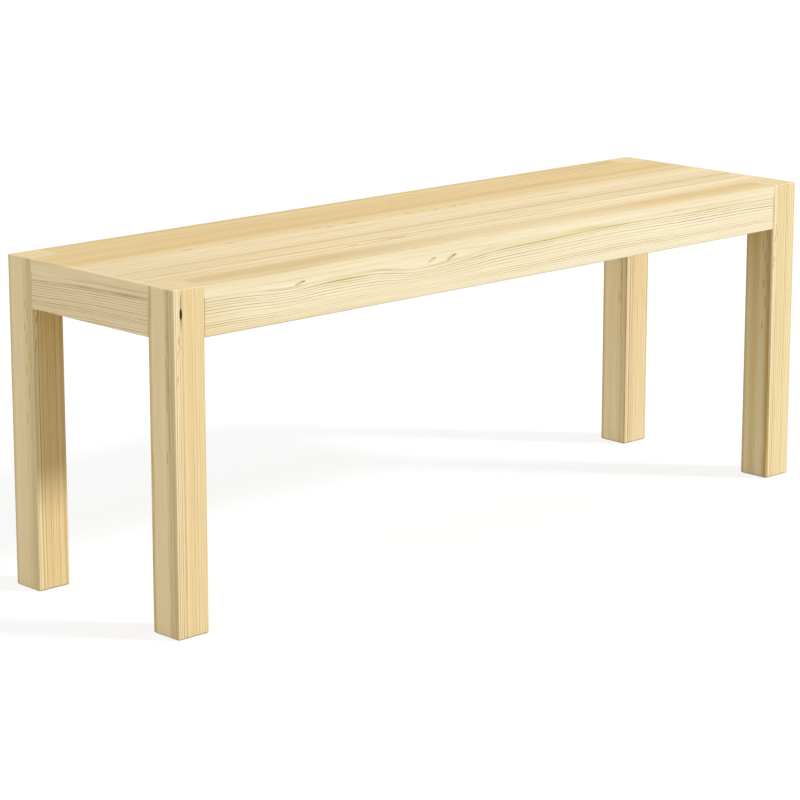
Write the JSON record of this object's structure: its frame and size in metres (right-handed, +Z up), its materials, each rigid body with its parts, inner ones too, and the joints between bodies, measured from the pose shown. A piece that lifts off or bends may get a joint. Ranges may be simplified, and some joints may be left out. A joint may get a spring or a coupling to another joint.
{
  "type": "kitchen bench",
  "caption": "Long backless pine bench: square corner legs flush with a flat seat of glued staves, rails below the seat, open underneath.",
  "frame": {"origin": "on the floor under the middle of the seat", "axes": "+X along the bench to its right, front face at -Y, +Z up"},
  "size_m": [1.2, 0.34, 0.45],
  "materials": {
    "pine_leg": "planed and sanded pine, bare and matt",
    "pine_rail": "planed and sanded pine, bare and matt",
    "pine_seat": "glued pine staves, sanded flush, bare and matt",
    "pine_underframe": "sawn and planed pine, bare",
    "zinc_steel": "zinc-plated steel"
  },
  "bodies": {
    "root": {"leg_front_left": "pine_leg", "corner_block_front_left": "pine_underframe", "leg_front_right": "pine_leg", "corner_block_front_right": "pine_underframe", "leg_back_left": "pine_leg", "corner_block_back_left": "pine_underframe", "leg_back_right": "pine_leg", "corner_block_back_right": "pine_underframe", "rail_front": "pine_rail", "rail_back": "pine_rail", "rail_left_end": "pine_rail", "rail_right_end": "pine_rail", "seat_edge_stave_front": "pine_seat", "batten_front": "pine_underframe", "seat_edge_stave_back": "pine_seat", "batten_back": "pine_underframe", "seat_wide_stave_1": "pine_seat", "seat_wide_stave_2": "pine_seat", "seat_wide_stave_3": "pine_seat", "bearer_left": "pine_underframe", "bearer_middle": "pine_underframe", "bearer_right": "pine_underframe", "hanger_bolts": "zinc_steel", "bolt_washers": "zinc_steel", "bolt_nuts": "zinc_steel", "corner_block_screws": "zinc_steel", "batten_rail_screws": "zinc_steel", "batten_seat_screws": "zinc_steel", "bearer_screws": "zinc_steel"}
  },
  "joints": []
}
